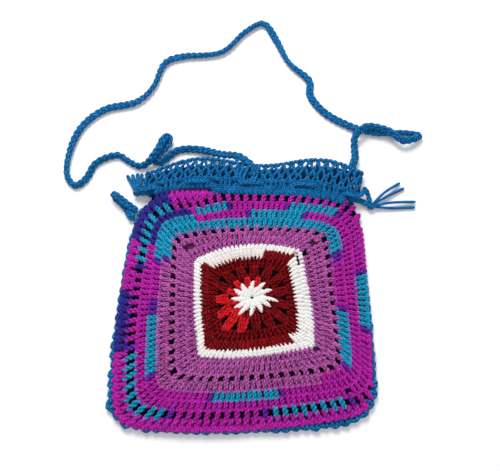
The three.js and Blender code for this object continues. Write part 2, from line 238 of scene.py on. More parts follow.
# Painted shade: the near-black ground under the holes
SHADED_GROUNDS["hole"] = yarn_material("painted_shade_hole", HOLE_PAINTED_SHADE, gloss=0)


# Meshes


def make_piece(name, verts, faces, face_materials, materials, uvs=None):
    """A smooth mesh object from arrays of points in millimetres and of quads."""
    mesh = bpy.data.meshes.new(name)
    mesh.vertices.add(len(verts))
    mesh.vertices.foreach_set("co", (verts * MM).astype(np.float32).ravel())
    mesh.loops.add(faces.size)
    mesh.loops.foreach_set("vertex_index", faces.astype(np.int32).ravel())
    mesh.polygons.add(len(faces))
    mesh.polygons.foreach_set("loop_start", np.arange(0, faces.size, 4, dtype=np.int32))
    mesh.polygons.foreach_set("material_index", np.asarray(face_materials, dtype=np.int32))
    mesh.polygons.foreach_set("use_smooth", np.ones(len(faces), dtype=bool))
    if uvs is not None:
        layer = mesh.uv_layers.new(name="yarn")
        layer.data.foreach_set("uv", uvs.astype(np.float32).ravel())
    for material in materials:
        mesh.materials.append(material)
    mesh.update(calc_edges=True)
    mesh.validate()
    piece = bpy.data.objects.new(name, mesh)
    bpy.context.scene.collection.objects.link(piece)
    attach(piece, "root")
    return piece


def mix(a, b, share):
    return a + (b - a) * share


def unit(vectors):
    return vectors / (np.linalg.norm(vectors, axis=-1, keepdims=True) + 1e-9)


def run_along(points):
    """How far each point of a path is from its start, along the path."""
    return np.concatenate([[0], np.cumsum(np.linalg.norm(np.diff(points, axis=0), axis=1))])


def evenly_along(points, count):
    """Evenly spaced points on a path, and the length of the path."""
    run = run_along(points)
    even = np.linspace(0, run[-1], count)
    return np.stack([np.interp(even, run, column) for column in points.T], axis=1), run[-1]


def spread(values, count):
    """Values from one end of a strand to the other, spread evenly over count points."""
    return np.interp(np.linspace(0, len(values) - 1, count), np.arange(len(values)), values)


def smooth(points, steps):
    """Points on the smooth curves through arrays of points, with steps on each span."""
    first = 2 * points[..., :1, :] - points[..., 1:2, :]
    last = 2 * points[..., -1:, :] - points[..., -2:-1, :]
    p = np.concatenate([first, points, last], axis=-2)
    a, b, c, d = (p[..., i : p.shape[-2] - 3 + i, None, :] for i in range(4))
    u = (np.arange(steps) / steps)[:, None]
    squared = (2 * a - 5 * b + 4 * c - d) * u**2
    cubed = (3 * b - a - 3 * c + d) * u**3
    spans = 0.5 * (2 * b + (c - a) * u + squared + cubed)
    flat = spans.reshape(*points.shape[:-2], -1, 3)
    return np.concatenate([flat, points[..., -1:, :]], axis=-2)


STEEP = 0.9  # a strand whose direction rises more than this starts from the X axis instead of the Z axis


def carried_across(tangent):
    """A direction across each strand at each of its points, carried along without a twist."""
    steep = np.abs(tangent[:, 0, 2:]) > STEEP
    across = unit(np.cross(tangent[:, 0], np.where(steep, [1.0, 0, 0], [0, 0, 1.0])))
    carried = [across]
    for i in range(1, tangent.shape[1]):
        t = tangent[:, i]
        across = unit(across - t * np.sum(across * t, axis=1, keepdims=True))
        carried.append(across)
    return np.stack(carried, axis=1)


def tube_quads(length, sides):
    """The quads of a tube of length rings of points: its walls, then its two ends."""
    number = np.arange(length * sides).reshape(length, sides)
    beside = np.roll(number, -1, axis=1)
    walls = np.stack([number[:-1], beside[:-1], beside[1:], number[1:]], axis=-1)
    fan = np.array([[k, k + 1, sides - 2 - k, sides - 1 - k] for k in range(sides // 2 - 1)])
    return np.concatenate([walls.reshape(-1, 4), fan[:, ::-1], fan + (length - 1) * sides])


def tube_uvs(paths, sides):
    """Texture places for the quads of tubes: round the tube from 0 to 1, and along it in millimetres."""
    along = np.stack([run_along(path) for path in paths])
    grid = np.stack(np.broadcast_arrays(np.arange(sides + 1) / sides, along[..., None]), axis=-1)
    corners = [grid[:, :-1, :-1], grid[:, :-1, 1:], grid[:, 1:, 1:], grid[:, 1:, :-1]]
    walls = np.stack(corners, axis=3).reshape(len(paths), -1, 4, 2)
    ends = np.zeros((len(paths), 2 * (sides // 2 - 1), 4, 2))
    return np.concatenate([walls, ends], axis=1).reshape(-1, 2)


class Yarn:
    """Strands of yarn that become one mesh, with a material for each colour."""

    def __init__(self, name):
        self.name = name
        self.verts, self.faces, self.uvs, self.slots = [], [], [], []
        self.colours = []
        self.count = 0

    def slot(self, colour):
        if colour not in self.colours:
            self.colours.append(colour)
        return self.colours.index(colour)

    def add(self, paths, radius, colours, sides=6):
        """Tubes along paths, an array of strands by points by 3. radius is one value, or one a point."""
        strands, length, _ = paths.shape
        tangent = unit(np.gradient(paths, axis=1))
        across = carried_across(tangent)
        upward = np.cross(tangent, across)
        angle = np.linspace(0, 2 * np.pi, sides, endpoint=False)[:, None]
        radius = np.broadcast_to(radius, (strands, length))[:, :, None, None]
        spokes = np.cos(angle) * across[:, :, None] + np.sin(angle) * upward[:, :, None]
        quads = tube_quads(length, sides)
        starts = self.count + np.arange(strands)[:, None, None] * length * sides
        names = [colours] * strands if isinstance(colours, str) else colours
        self.verts.append((paths[:, :, None] + radius * spokes).reshape(-1, 3))
        self.faces.append((starts + quads[None]).reshape(-1, 4))
        self.uvs.append(tube_uvs(paths, sides))
        self.slots.append(np.repeat([self.slot(name) for name in names], len(quads)))
        self.count += strands * length * sides

    def make(self):
        verts, faces, slots, uvs = (np.concatenate(p) for p in (self.verts, self.faces, self.slots, self.uvs))
        return make_piece(self.name, verts, faces, slots, [MATERIALS[name] for name in self.colours], uvs)


# Height of the front square, read from the part

GRID_STEP = 4
GRID_X = np.arange(-136, 137, GRID_STEP)
GRID_Y = np.arange(-140, 117, GRID_STEP)
ABOVE_ALL = 1  # metres
NEAR_TOP = 0.02  # metres


def height_grid(node):
    """Height of the top of a node over a grid, with the nearest height outside it."""
    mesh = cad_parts[node].data
    tree = BVHTree.FromPolygons([v.co for v in mesh.vertices], [p.vertices for p in mesh.polygons])
    grid = np.zeros((len(GRID_X), len(GRID_Y)))
    for i, x in enumerate(GRID_X):
        for j, y in enumerate(GRID_Y):
            hit = tree.ray_cast(Vector((x * MM, y * MM, ABOVE_ALL)), Vector((0, 0, -1)))[0]
            if hit is None:
                hit = tree.find_nearest(Vector((x * MM, y * MM, NEAR_TOP)))[0]
            grid[i, j] = hit.z / MM
    return grid


FRONT_GRID = height_grid("front_square")


def front_height(x, y):
    """Height of the front square's top at arrays of places."""
    i = np.clip((x - GRID_X[0]) / GRID_STEP, 0, len(GRID_X) - 1.001)
    j = np.clip((y - GRID_Y[0]) / GRID_STEP, 0, len(GRID_Y) - 1.001)
    a, b = i.astype(int), j.astype(int)
    s, t = i - a, j - b
    low = FRONT_GRID[a, b] * (1 - s) + FRONT_GRID[a + 1, b] * s
    high = FRONT_GRID[a, b + 1] * (1 - s) + FRONT_GRID[a + 1, b + 1] * s
    return low * (1 - t) + high * t


# The rounds of a square: closed loops, each starting at the top left corner and running clockwise

SIDES = ("top", "right", "bottom", "left")
SIDE_SAMPLES = 180
LOOP_SAMPLES = 4 * SIDE_SAMPLES
SAMPLE_NUMBERS = np.arange(LOOP_SAMPLES + 1)
SAMPLE_SHARES = np.linspace(0, 1, LOOP_SAMPLES + 1)


def loop(corners, middles, rounding):
    """A loop through four corners (from top left) and the middles of the four sides (from the top)."""
    corners, middles = np.array(corners, float), np.array(middles, float)
    u = np.linspace(-1, 1, SIDE_SAMPLES, endpoint=False)[:, None]
    sides = []
    for k in range(4):
        start, end = corners[k], corners[(k + 1) % 4]
        sides.append(start * u * (u - 1) / 2 + middles[k] * (1 - u * u) + end * u * (u + 1) / 2)
    points = np.concatenate(sides)
    for _ in range(rounding):
        points = 0.5 * points + 0.25 * (np.roll(points, 1, axis=0) + np.roll(points, -1, axis=0))
    return points


def closed(ring):
    """A loop with its first point again at its end."""
    return np.concatenate([ring, ring[:1]])


def on_loop(ring, sample):
    """The x and the y of a closed loop at samples."""
    return [np.interp(sample, SAMPLE_NUMBERS, closed(ring)[:, k]) for k in range(2)]


CENTRE = np.array([7.9, -12.0])
WHITE = loop(
    [(-50, 26.5), (56, 37.5), (68, -60), (-43, -70)],
    [(1, 42.7), (65.4, -14.7), (6, -70.4), (-48.4, -19.8)],
    16,
)
EYELETS = loop(
    [(-71, 52), (84, 56), (93, -80), (-69, -88)],
    [(6, 59.8), (88.6, -13.9), (-3.4, -90.7), (-70.9, -19.3)],
    160,
)
OUTLINE = loop(
    [(-105, 97.5), (121, 93.5), (122.5, -120), (-122, -131)],
    [(5.5, 98.6), (124.5, -13), (-8, -136), (-123.5, -17)],
    260,
)
EYELETS_IN = mix(WHITE, EYELETS, 0.82)
EYELETS_OUT = mix(EYELETS, OUTLINE, 0.08)
LILAC_MIDDLE = mix(WHITE, EYELETS_IN, 0.5)

# Inside the white round: the middle is an ellipse, which a square takes over from a share of the way out
MIDDLE_RADII = (57, 46)
ROUND_UNTIL = 0.3
SQUARING = 0.45
INNER_SHARES = (0.02, 0.25, 0.44, 0.62, 0.765, 0.885)

# Outside the eyelets: a lost round narrows from a sample, over so many, and is back at a sample, over so many
OUTER_ROUNDS = 5
LOST_ROUNDS = [(42, 24, 374, 28), (178, 24, 356, 24)]
SHORT_ROW = (9, 55)
SHORT_ROW_HEIGHT = 6


def inner_loop(share):
    """A loop inside the white round: an ellipse near the middle that grows into a square."""
    out = WHITE - CENTRE
    turn = np.arctan2(out[:, 1], out[:, 0])
    ellipse = np.stack([MIDDLE_RADII[0] * np.cos(turn), MIDDLE_RADII[1] * np.sin(turn)], axis=1)
    squareness = np.clip((share - ROUND_UNTIL) / SQUARING, 0, 1)
    squareness = squareness * squareness * (3 - 2 * squareness)
    return CENTRE + share * mix(ellipse, out, squareness)


def outer_loop(number):
    """The loop that ends outer round number. The top right has one round fewer, the right has two."""
    sample = np.arange(LOOP_SAMPLES)
    fewer = np.zeros(LOOP_SAMPLES)
    for start, narrowing, end, widening in LOST_ROUNDS:
        fewer += np.clip((sample - start) / narrowing, 0, 1) * np.clip((end - sample) / widening, 0, 1)
    share = np.minimum(1, number / (OUTER_ROUNDS - fewer))[:, None]
    return mix(EYELETS_OUT, OUTLINE, share)


def short_row():
    """The loop that ends the short row on the top left, which elsewhere lies on the outline."""
    sample = np.arange(LOOP_SAMPLES)
    worked = (sample > SHORT_ROW[0]) & (sample < SHORT_ROW[1])
    return OUTLINE + np.where(worked, SHORT_ROW_HEIGHT, 0)[:, None] * np.array([0, 1])


# Every round from the middle out lies between two loops
INNER = [inner_loop(share) for share in INNER_SHARES]
OUTER = [outer_loop(number) for number in range(1, OUTER_ROUNDS + 1)]
ROUNDS = ["petals", "groups", "red_square", "half_white", "white", "lilac_1", "lilac_2", "eyelets"]
ROUNDS += ["A", "B", "C", "D", "E"]
ROUND_ENDS = [*INNER[1:], WHITE, LILAC_MIDDLE, EYELETS_IN, EYELETS_OUT, *OUTER]
LOOPS = dict(zip(ROUNDS, zip(ROUND_ENDS, ROUND_ENDS[1:])))
LOOPS["F"] = (OUTLINE, short_row())

# Colours of the variegated rounds: along each side, where each colour ends. The rest is magenta.
# Top and bottom run by x from the left, right and left run by y from the top.
END = 1000
RUNS = {
    "A": {
        "top": [(END, "teal")],
        "right": [(36, "teal"), (30, "purple"), (-20, "magenta"), (-24, "purple"),
                  (-75, "teal"), (-81, "purple")],
        "bottom": [(72, "lilac")],
        "left": [(30, "teal"), (26, "purple"), (-END, "lilac")],
    },
    "B": {
        "top": [(-52, "teal"), (-48, "purple"), (3, "magenta"), (8, "purple"), (60, "teal"), (66, "purple")],
        "bottom": [(-34, "magenta"), (-28, "purple"), (34, "teal"), (41, "purple")],
        "left": [(31, "teal"), (26, "purple"), (-13, "magenta"), (-26, "purple"),
                 (-86, "teal"), (-92, "purple")],
    },
    "C": {
        "top": [(-54, "indigo"), (-50, "magenta"), (-17, "teal"), (-12, "indigo"), (41, "magenta"),
                (46, "purple"), (96, "teal"), (101, "purple")],
        "right": [(22, "magenta"), (17, "purple"), (-38, "teal"), (-45, "purple")],
        "left": [(45, "indigo")],
    },
    "D": {
        "top": [(-73, "teal")],
        "bottom": [(-74, "teal"), (-69, "purple"), (18, "magenta"), (25, "purple"),
                   (102, "teal"), (108, "purple")],
        "left": [(32, "teal"), (22, "indigo"), (-51, "magenta"), (-60, "purple"), (-END, "teal")],
    },
    "E": {
        "top": [(-73, "indigo")],
        "left": [(50, "indigo"), (-1, "magenta"), (-63, "indigo")],
    },
    "F": {"top": [(-76, "indigo")]},
}


def side_of(sample):
    return SIDES[int(sample // SIDE_SAMPLES) % 4]


def runs(name):
    """The colours of a variegated round: a stitch's colour comes from the side it is on and how far along."""

    def colour_of(sample, place):
        side = side_of(sample)
        level = side in ("top", "bottom")
        for end, colour in RUNS[name].get(side, []):
            if (level and place[0] < end) or (not level and place[1] > end):
                return colour
        return "magenta"

    return colour_of


def always(colour):
    return lambda sample, place: colour


def red_between(start, end):
    """Red between two angles round the middle, in degrees anticlockwise from the right, else dark red."""

    def colour_of(sample, place):
        angle = math.degrees(math.atan2(place[1] - CENTRE[1], place[0] - CENTRE[0])) % 360
        return "red" if start < angle < end else "dark_red"

    return colour_of


WHITE_CORNER = 46
BLUSH_RUN = (-37, 18)


def half_white_colour(sample, place):
    """White along the right side and round its lower corner, blush on part of the top, dark red elsewhere."""
    side = side_of(sample)
    if side == "right" or (side == "bottom" and place[0] > WHITE_CORNER):
        return "white"
    return "blush" if side == "top" and BLUSH_RUN[0] < place[0] < BLUSH_RUN[1] else "dark_red"


# Stitches: each strand is its points, as (along in stitch widths, outward share, height), and its thickness

POINTS_A_TURN = 4
TWIST_START = 0.6


def strand(points, thickness=(1, 1)):
    """A strand of a stitch, with its thickness given from its foot to its head."""
    points = np.array(points, float)
    share = np.linspace(0, 1, len(points))
    return points, np.interp(share, np.linspace(0, 1, len(thickness)), thickness)


def twisted(turns, width, foot, head, low, high, thickness=(0.8, 1, 1, 1, 0.9), shift=0.0, slant=0.0):
    """Two strands wound round each other from the foot of a stitch to its head."""
    outward = np.linspace(foot, head, round(POINTS_A_TURN * turns) + 2)
    risen = (outward - foot) / (head - foot)
    turn = 2 * np.pi * turns * risen + TWIST_START
    strands = []
    for k in range(2):
        along = shift + slant * risen + width * np.sin(turn + np.pi * k)
        height = (low + high) / 2 + (high - low) / 2 * np.cos(turn + np.pi * k)
        strands.append(strand(np.stack([along, outward, height], axis=1), thickness))
    return strands


TOP_CHAIN = strand([
    (-0.56, 0.80, 0.7), (-0.25, 0.90, 1.6), (0.10, 0.95, 2.0), (0.40, 0.89, 1.6), (0.62, 0.79, 0.7),
])
TREBLE = [*twisted(1.5, 0.25, foot=-0.25, head=1.0, low=0.9, high=2.5), TOP_CHAIN]
FIRST_TREBLE = [
    *twisted(1.5, 0.25, foot=-0.34, head=1.0, low=1.1, high=3.0, thickness=(0.4, 0.9, 1, 1, 0.9)),
    TOP_CHAIN,
]
POST = [
    *twisted(1.25, 0.18, foot=-0.2, head=1.1, low=0.9, high=2.7, thickness=(1.2, 1.2, 1.05, 0.85, 0.8)),
    strand([(-0.54, 0.90, 0.4), (-0.25, 0.95, 0.9), (0.05, 1.00, 1.6), (0.30, 0.95, 0.9), (0.56, 0.90, 0.4)]),
]
EDGE_TREBLE = [
    *twisted(1.0, 0.24, foot=-0.2, head=0.9, low=1.2, high=3.0),
    strand([(-0.5, 0.62, 0.8), (-0.26, 0.95, 1.8), (0.05, 1.06, 2.2), (0.32, 0.95, 1.8), (0.54, 0.60, 0.8)]),
]
LOOSE_POST = twisted(1.5, 0.19, foot=-0.25, head=1.15, low=0.9, high=2.8, thickness=(1, 1.15, 1.1, 1, 0.9))
CLUSTER = [
    *twisted(1.75, 0.26, foot=-0.2, head=0.98, low=0.8, high=3.1, thickness=(0.8, 1.0, 1.15, 1.1, 1.0)),
    strand([(-0.5, 0.78, 1.0), (-0.2, 0.9, 2.4), (0.15, 0.93, 2.6), (0.5, 0.8, 1.0)]),
]
WHITE_STITCH = [
    strand(
        [(0, -0.48, 2.3), (0, -0.15, 2.1), (0, 0.2, 1.6), (0, 0.6, 1.5), (0.02, 0.92, 1.2), (0.04, 1.1, 0.6)],
        (0.3, 1.3, 2.1, 2.2, 2.1, 1.4),
    ),
]

# How stitches lie on a square: the radius of its strands, their steps on each span and their sides
FRONT_STRANDS = (1.2, 2, 6)
BACK_STRANDS = (0.95, 1, 4)
GROUND_DEPTH = 4.0  # how far the ground lies below the top of the front square's solid
BACK_GROUND = 3.5
BACK_LOFT = 0.75
TABLE_GAP = 0.05
NARROWEST_ROUND = 2.5
STITCH_SWAY = 0.04
STITCH_SWELL = 0.07

# Small holes at the corners of rounds, where the feet of the stitches are left open
GAPS = np.array([
    (56, -52), (65, -59), (-40, -64), (59, 35), (54, 24), (50, 29),
    (65, 41), (-52, 37.5), (73, -64), (78, -72), (-59, -77), (-49, -70),
    (-86, -97), (93, -86), (98, -97), (94, 69),
])
GAP_REACH = 3.4
GAP_LIFT = 0.62


class Square:
    """Works rounds of stitches onto the front square, or, with back set, onto the underside of the back."""

    def __init__(self, back):
        self.back = back
        self.radius, self.steps, self.sides = BACK_STRANDS if back else FRONT_STRANDS

    def lift(self, x, y, height, thick=1.0):
        """Height above the table of a place on the square's outside, raised from its ground."""
        if self.back:
            return np.maximum(BACK_GROUND - BACK_LOFT * height, self.radius * thick + TABLE_GAP)
        return front_height(x, y) - GROUND_DEPTH + height

    def place(self, loops, evenly, count, along, outward, height, thick):
        """Points at along (in stitches), outward (0 to 1) and height on the round between two loops."""
        sample = np.interp(np.mod(along / count, 1), SAMPLE_SHARES, evenly)
        start, end = (on_loop(edge, sample) for edge in loops)
        x = mix(start[0], end[0], outward)
        y = mix(start[1], end[1], outward)
        return np.stack([x, y, self.lift(x, y, height, thick)], axis=-1)

    def work(
        self, yarn, name, stitch, colour_of, width=None, count=None, loft=1.0, thick=1.0, group=1, gather=0.0
    ):
        """One round of stitches, of a width or by count. colour_of gives a colour from sample and place.

        Stitches are gathered in groups, which draw together by gather towards their heads.
        """
        loops = LOOPS[name]
        middle = mix(loops[0], loops[1], 0.5)
        run = run_along(closed(middle))
        evenly = np.interp(np.linspace(0, run[-1], LOOP_SAMPLES + 1), run, SAMPLE_NUMBERS)
        count = count or round(run[-1] / width)
        numbers = np.arange(count) + 0.5
        middles = np.floor(numbers / group) * group + group / 2
        sample = np.interp(numbers / count, SAMPLE_SHARES, evenly)
        at = np.interp(middles / count, SAMPLE_SHARES, evenly)
        centres = np.stack(on_loop(middle, at), axis=1)
        index = sample.astype(int) % LOOP_SAMPLES
        feet = loops[0][index]
        keep = np.linalg.norm(loops[1][index] - feet, axis=1) > NARROWEST_ROUND
        colours = [colour_of(s, c) for s, c, k in zip(at, centres, keep) if k]
        sway = rng.normal(0, STITCH_SWAY, (count, 1))
        swell = loft * (1 + rng.normal(0, STITCH_SWELL, (count, 1)))
        to_gap = np.linalg.norm(feet[:, None] - GAPS[None], axis=2).min(axis=1)
        lifted = np.where(to_gap < GAP_REACH, GAP_LIFT, 0)[:, None]
        for shape, thickness in stitch:
            outward = lifted + (1 - lifted) * shape[:, 1]
            drawn = 1 - gather * np.clip(outward, 0, 1)
            along = middles[:, None] + ((numbers - middles)[:, None] + sway + shape[:, 0]) * drawn
            widest = thick * thickness.max()
            paths = self.place(loops, evenly, count, along, outward, swell * shape[:, 2], widest)[keep]
            curves = smooth(paths, self.steps)
            radius = thick * self.radius * spread(thickness, curves.shape[1])
            yarn.add(curves, radius, colours, self.sides)


# The white star, of a disc and spikes. Each spike is where it ends, in degrees from the right, anticlockwise,
# and its reach in radii of the disc.
STAR_RADII = (13.6, 11.2)
SPIKES = [
    (-12, 1.95), (24, 1.6), (53, 1.65), (84, 1.5), (120, 1.45), (150, 1.5),
    (184, 1.5), (216, 1.6), (238, 1.85), (265, 1.7), (297, 1.55), (327, 1.6),
]
DISC_SHARES = [0.12, 0.4, 0.75, 1.0]
SPIKE_BENDS = np.array([0.15, 0.15, 0.15, 0.11, 0.05, 0])
SPIKE_HEIGHTS = np.array([0.6, 0.7, 0.8, 1.3, 2.7, 2.8])
SPIKE_RADII = [1.6, 2.9, 3.8, 3.3, 2.1, 0.6]
BACK_STAR = 0.8


def star(square, yarn):
    """The white star: a disc of thick strands round a small hole, that run out as spikes over the petals."""
    for degrees, reach in SPIKES:
        turn = math.radians(degrees)
        shares = np.array([*DISC_SHARES, 0.4 + 0.6 * reach, reach])
        x = CENTRE[0] + STAR_RADII[0] * shares * np.cos(turn + SPIKE_BENDS)
        y = CENTRE[1] + STAR_RADII[1] * shares * np.sin(turn + SPIKE_BENDS)
        z = square.lift(x, y, SPIKE_HEIGHTS, max(SPIKE_RADII))
        path = smooth(np.stack([x, y, z], axis=1)[None], 4)
        taper = spread(SPIKE_RADII, path.shape[1])
        yarn.add(path, taper * (BACK_STAR if square.back else 1), "white", 10)


def work_square(prefix, back):
    """All the rounds of a square, as four pieces."""
    square = Square(back)
    middle = Yarn(prefix + "_middle_rounds")
    star(square, middle)
    square.work(middle, "petals", CLUSTER, red_between(52, 232), count=24, group=2, gather=0.62)
    square.work(middle, "groups", CLUSTER, red_between(170, 276), count=45, group=3, gather=0.6)
    square.work(middle, "red_square", TREBLE, always("dark_red"), width=4.6, thick=0.92)
    square.work(middle, "half_white", WHITE_STITCH, half_white_colour, width=4.1)
    square.work(middle, "white", WHITE_STITCH, always("white"), width=4.0)
    lilac = Yarn(prefix + "_lilac_rounds")
    square.work(lilac, "lilac_1", FIRST_TREBLE, always("lilac"), width=4.8, thick=1.05)
    square.work(lilac, "lilac_2", TREBLE, always("lilac"), width=5.1, thick=1.08)
    square.work(lilac, "eyelets", POST, always("lilac"), width=9.6, thick=1.15)
    inner = Yarn(prefix + "_inner_rounds")
    square.work(inner, "A", TREBLE, runs("A"), width=5.2, thick=1.08)
    square.work(inner, "B", TREBLE, runs("B"), width=5.2, thick=1.08)
    outer = Yarn(prefix + "_outer_rounds")
    square.work(outer, "C", TREBLE, runs("C"), width=5.4, thick=1.1)
    square.work(outer, "D", LOOSE_POST, runs("D"), width=9.2, thick=1.15, loft=1.1)
    square.work(outer, "E", EDGE_TREBLE, runs("E"), width=7.6, thick=1.5)
    if not back:
        square.work(outer, "F", TREBLE, runs("F"), width=5.4, thick=1.15)
    return [yarn.make() for yarn in (middle, lilac, inner, outer)]


# The ground behind the stitches, in painted shade: rings from the middle out, and the colour of the zone
# outside each
GROUND_RINGS = [*INNER, WHITE, LILAC_MIDDLE, EYELETS_IN, EYELETS_OUT]
GROUND_RINGS += [mix(EYELETS_OUT, ring, 0.96) for ring in OUTER[:-1]]
GROUND_RINGS += [mix(EYELETS_OUT, OUTLINE, 0.97)]
# The "hole" zones are painted near-black shade: under the star, the petals, the groups, the eyelets and round
# D
ZONES = ["hole", "hole", "hole", "dark_red", "dark_red", "white", "lilac", "lilac", "hole"]
PLAIN_ZONES = len(ZONES)  # the zones before the variegated rounds
ZONES += ["lilac", "magenta", "magenta", "hole", "magenta"]
OPEN_ROUND = 6  # where a variegated round is narrower than this, it has no holes
FEET_SHARE = 0.25
SAMPLES_A_QUAD = 4
SHEET_THICKNESS = 0.5
FRONT_SHEET_RISE = 0.3
BACK_SHEET = 3.4


def ground_sheet(name, back):
    """The closed cloth behind the stitches, in each round's colour darkened as painted shade, and painted
    near-black shade under the holes.
    """
    rings = [ring[::SAMPLES_A_QUAD] for ring in GROUND_RINGS]
    wide = len(rings[0])
    flat = np.concatenate(rings)
    if back:
        height = np.full(len(flat), BACK_SHEET)
    else:
        height = front_height(flat[:, 0], flat[:, 1]) - GROUND_DEPTH + FRONT_SHEET_RISE
    top = np.column_stack([flat, height])
    drop = np.array([0, 0, SHEET_THICKNESS if back else -SHEET_THICKNESS])
    verts = np.concatenate([top, top + drop])
    under = len(top)
    names = sorted(SHADED_GROUNDS)
    faces, slots = [], []
    for k, zone in enumerate(ZONES):
        for i in range(wide):
            n = (i + 1) % wide
            quad = [k * wide + i, (k + 1) * wide + i, (k + 1) * wide + n, k * wide + n]
            faces += [quad[::-1], [under + v for v in quad]]
            wide_enough = np.linalg.norm(rings[k + 1][i] - rings[k][i]) > OPEN_ROUND
            feet = mix(rings[k][i], rings[k + 1][i], FEET_SHARE)
            under_gap = np.linalg.norm(GAPS - feet, axis=1).min() < GAP_REACH
            # Painted shade: near-black under the gaps, else the zone's darkened colour
            shown = "hole" if under_gap else zone if k < PLAIN_ZONES or wide_enough else "magenta"
            slots += [names.index(shown)] * 2
    last = (len(rings) - 1) * wide
    for i in range(wide):
        n = (i + 1) % wide
        faces += [[last + i, under + last + i, under + last + n, last + n], [i, n, under + n, under + i]]
        slots += [names.index("magenta"), names.index("white")]
    faces = np.array(faces)
    if back:
        faces = faces[:, ::-1]
    return make_piece(name, verts, faces, slots, [SHADED_GROUNDS[name] for name in names])


# The mouth band

BAND_WIDTH = 2 * BAND_HALF
END_RADIUS = LAYER_SPACING / 2
END_LENGTH = math.pi * END_RADIUS
RING = 4 * BAND_HALF + 2 * END_LENGTH
BACK_START = BAND_WIDTH + END_LENGTH
BACK_END = 2 * BAND_WIDTH + END_LENGTH
TABLE_CLEARANCE = 2.1  # the lowest that the middle of a strand lies
ROW_SWAY = 0.08
ROW_SWELL = 0.2


def band_point(along, offset, out):
    """Points on the band: along its ring from the front's left end, up from the seam, and out from it."""
    along = np.mod(along, RING)
    front = along < BAND_WIDTH
    right = (along >= BAND_WIDTH) & (along < BACK_START)
    back = (along >= BACK_START) & (along < BACK_END)
    x = np.select(
        [front, right, back],
        [along - BAND_HALF, BAND_HALF, BAND_HALF - (along - BACK_START)],
        -BAND_HALF,
    )
    turn = (along - np.where(right, BAND_WIDTH, BACK_END)) / END_RADIUS
    side = np.where(right, 1, -1)
    radius = END_RADIUS + out
    y = band_y(x, offset)
    reach = np.where(front | back, 0, side * np.sin(turn) * radius)
    middle = BACK_LAYER + END_RADIUS
    z = np.select(
        [front, back],
        [front_layer(x, offset / BAND_HEIGHT) + out, BACK_LAYER - out],
        middle + side * np.cos(turn) * radius,
    )
    return leaned(x + reach, y, np.maximum(z, TABLE_CLEARANCE))


def band_row(yarn, stitch, base, height, width, radius, shift=0.0, keep=None):
    """A row of stitches round the band, from base to base + height above the seam."""
    count = 2 * round(RING / width / 2)
    pitch = RING / count
    numbers = np.arange(count) + 0.5 + shift
    if keep is not None:
        numbers = numbers[keep(numbers * pitch)]
    sway = rng.normal(0, ROW_SWAY, (len(numbers), 1))
    swell = 1 + rng.normal(0, ROW_SWELL, (len(numbers), 1))
    for shape, thickness in stitch:
        along = (numbers[:, None] + sway + shape[:, 0]) * pitch
        offset = base + height * shape[:, 1] + 0 * along
        curves = smooth(band_point(along, offset, swell * shape[:, 2]), 2)
        yarn.add(curves, radius * spread(thickness, curves.shape[1]), "blue")


SINGLE = [
    *twisted(0.75, 0.22, foot=-0.15, head=0.95, low=-0.4, high=1.2),
    strand([(-0.46, 0.3, -0.5), (-0.27, 0.85, 1.1), (0.05, 1.1, 1.9), (0.33, 0.85, 1.1), (0.5, 0.3, -0.5)]),
]
LATTICE = [
    *twisted(0.75, 0.065, foot=-0.2, head=1.12, low=-0.9, high=1.1, shift=-0.05, slant=-0.44),
    *twisted(0.75, 0.065, foot=-0.2, head=1.12, low=-0.9, high=1.1, shift=0.05, slant=0.44),
    strand([(-0.22, -0.05, 0.2), (-0.06, 0.16, 1.5), (0.08, 0.14, 1.6), (0.22, -0.08, 0.2)]),
]
PILLAR = twisted(1.25, 0.2, foot=-0.12, head=1.12, low=-0.4, high=1.0)
LIP = [
    strand([(-0.58, 0.3, 0.2), (-0.25, 0.75, 1.4), (0.1, 0.8, 1.6), (0.4, 0.45, 1.2), (0.62, 0.1, 0.2)]),
    strand([(-0.58, 0.2, -0.4), (-0.2, 0.9, 0.1), (0.15, 1.05, 0.2), (0.45, 0.7, -0.2), (0.64, 0.2, -0.6)]),
]
EYELET_POSTS = range(1, 24, 3)
FIRST_POST = 1.75
EYELETS_ON_FRONT = [-BAND_HALF + FIRST_POST + MESH_PITCH * post for post in EYELET_POSTS]
EYELET_HALF = 7.6
PILLAR_MARGIN = 1.5
END_MARGIN = 2
FRONT_MARGINS = (8, 9)
BACK_MARGINS = (2, 8)
SHORT_ROW_END = -40


def away_from_eyelets(along):
    """Whether the band has a pillar at along: none where the drawstring passes, nor at the two ends."""
    to_eyelet = np.abs((along - BAND_HALF)[:, None] - EYELETS_ON_FRONT).min(axis=1)
    passed = (along < BAND_WIDTH) & (to_eyelet < EYELET_HALF - PILLAR_MARGIN)
    wrap = np.mod(along, RING)
    right = (wrap > BAND_WIDTH - END_MARGIN) & (wrap < BACK_START + END_MARGIN)
    left = (wrap > BACK_END - END_MARGIN) | (wrap < END_MARGIN)
    return ~(passed | right | left)


def inside_the_ends(along):
    """Whether the band's lowest rows have a stitch at along: its ends are drawn in there."""
    wrap = np.mod(along, RING)
    front = (wrap > FRONT_MARGINS[0]) & (wrap < BAND_WIDTH - FRONT_MARGINS[1])
    back = (wrap > BACK_START + BACK_MARGINS[0]) & (wrap < BACK_END - BACK_MARGINS[1])
    return front | back


def beside_the_short_row(along):
    """Whether the two lowest rows have a stitch at along: the square's short row lies there on the left."""
    return inside_the_ends(along) & (along - BAND_HALF > SHORT_ROW_END)


CLOSE_STITCH = 4.7
LIP_STITCH = 5.2


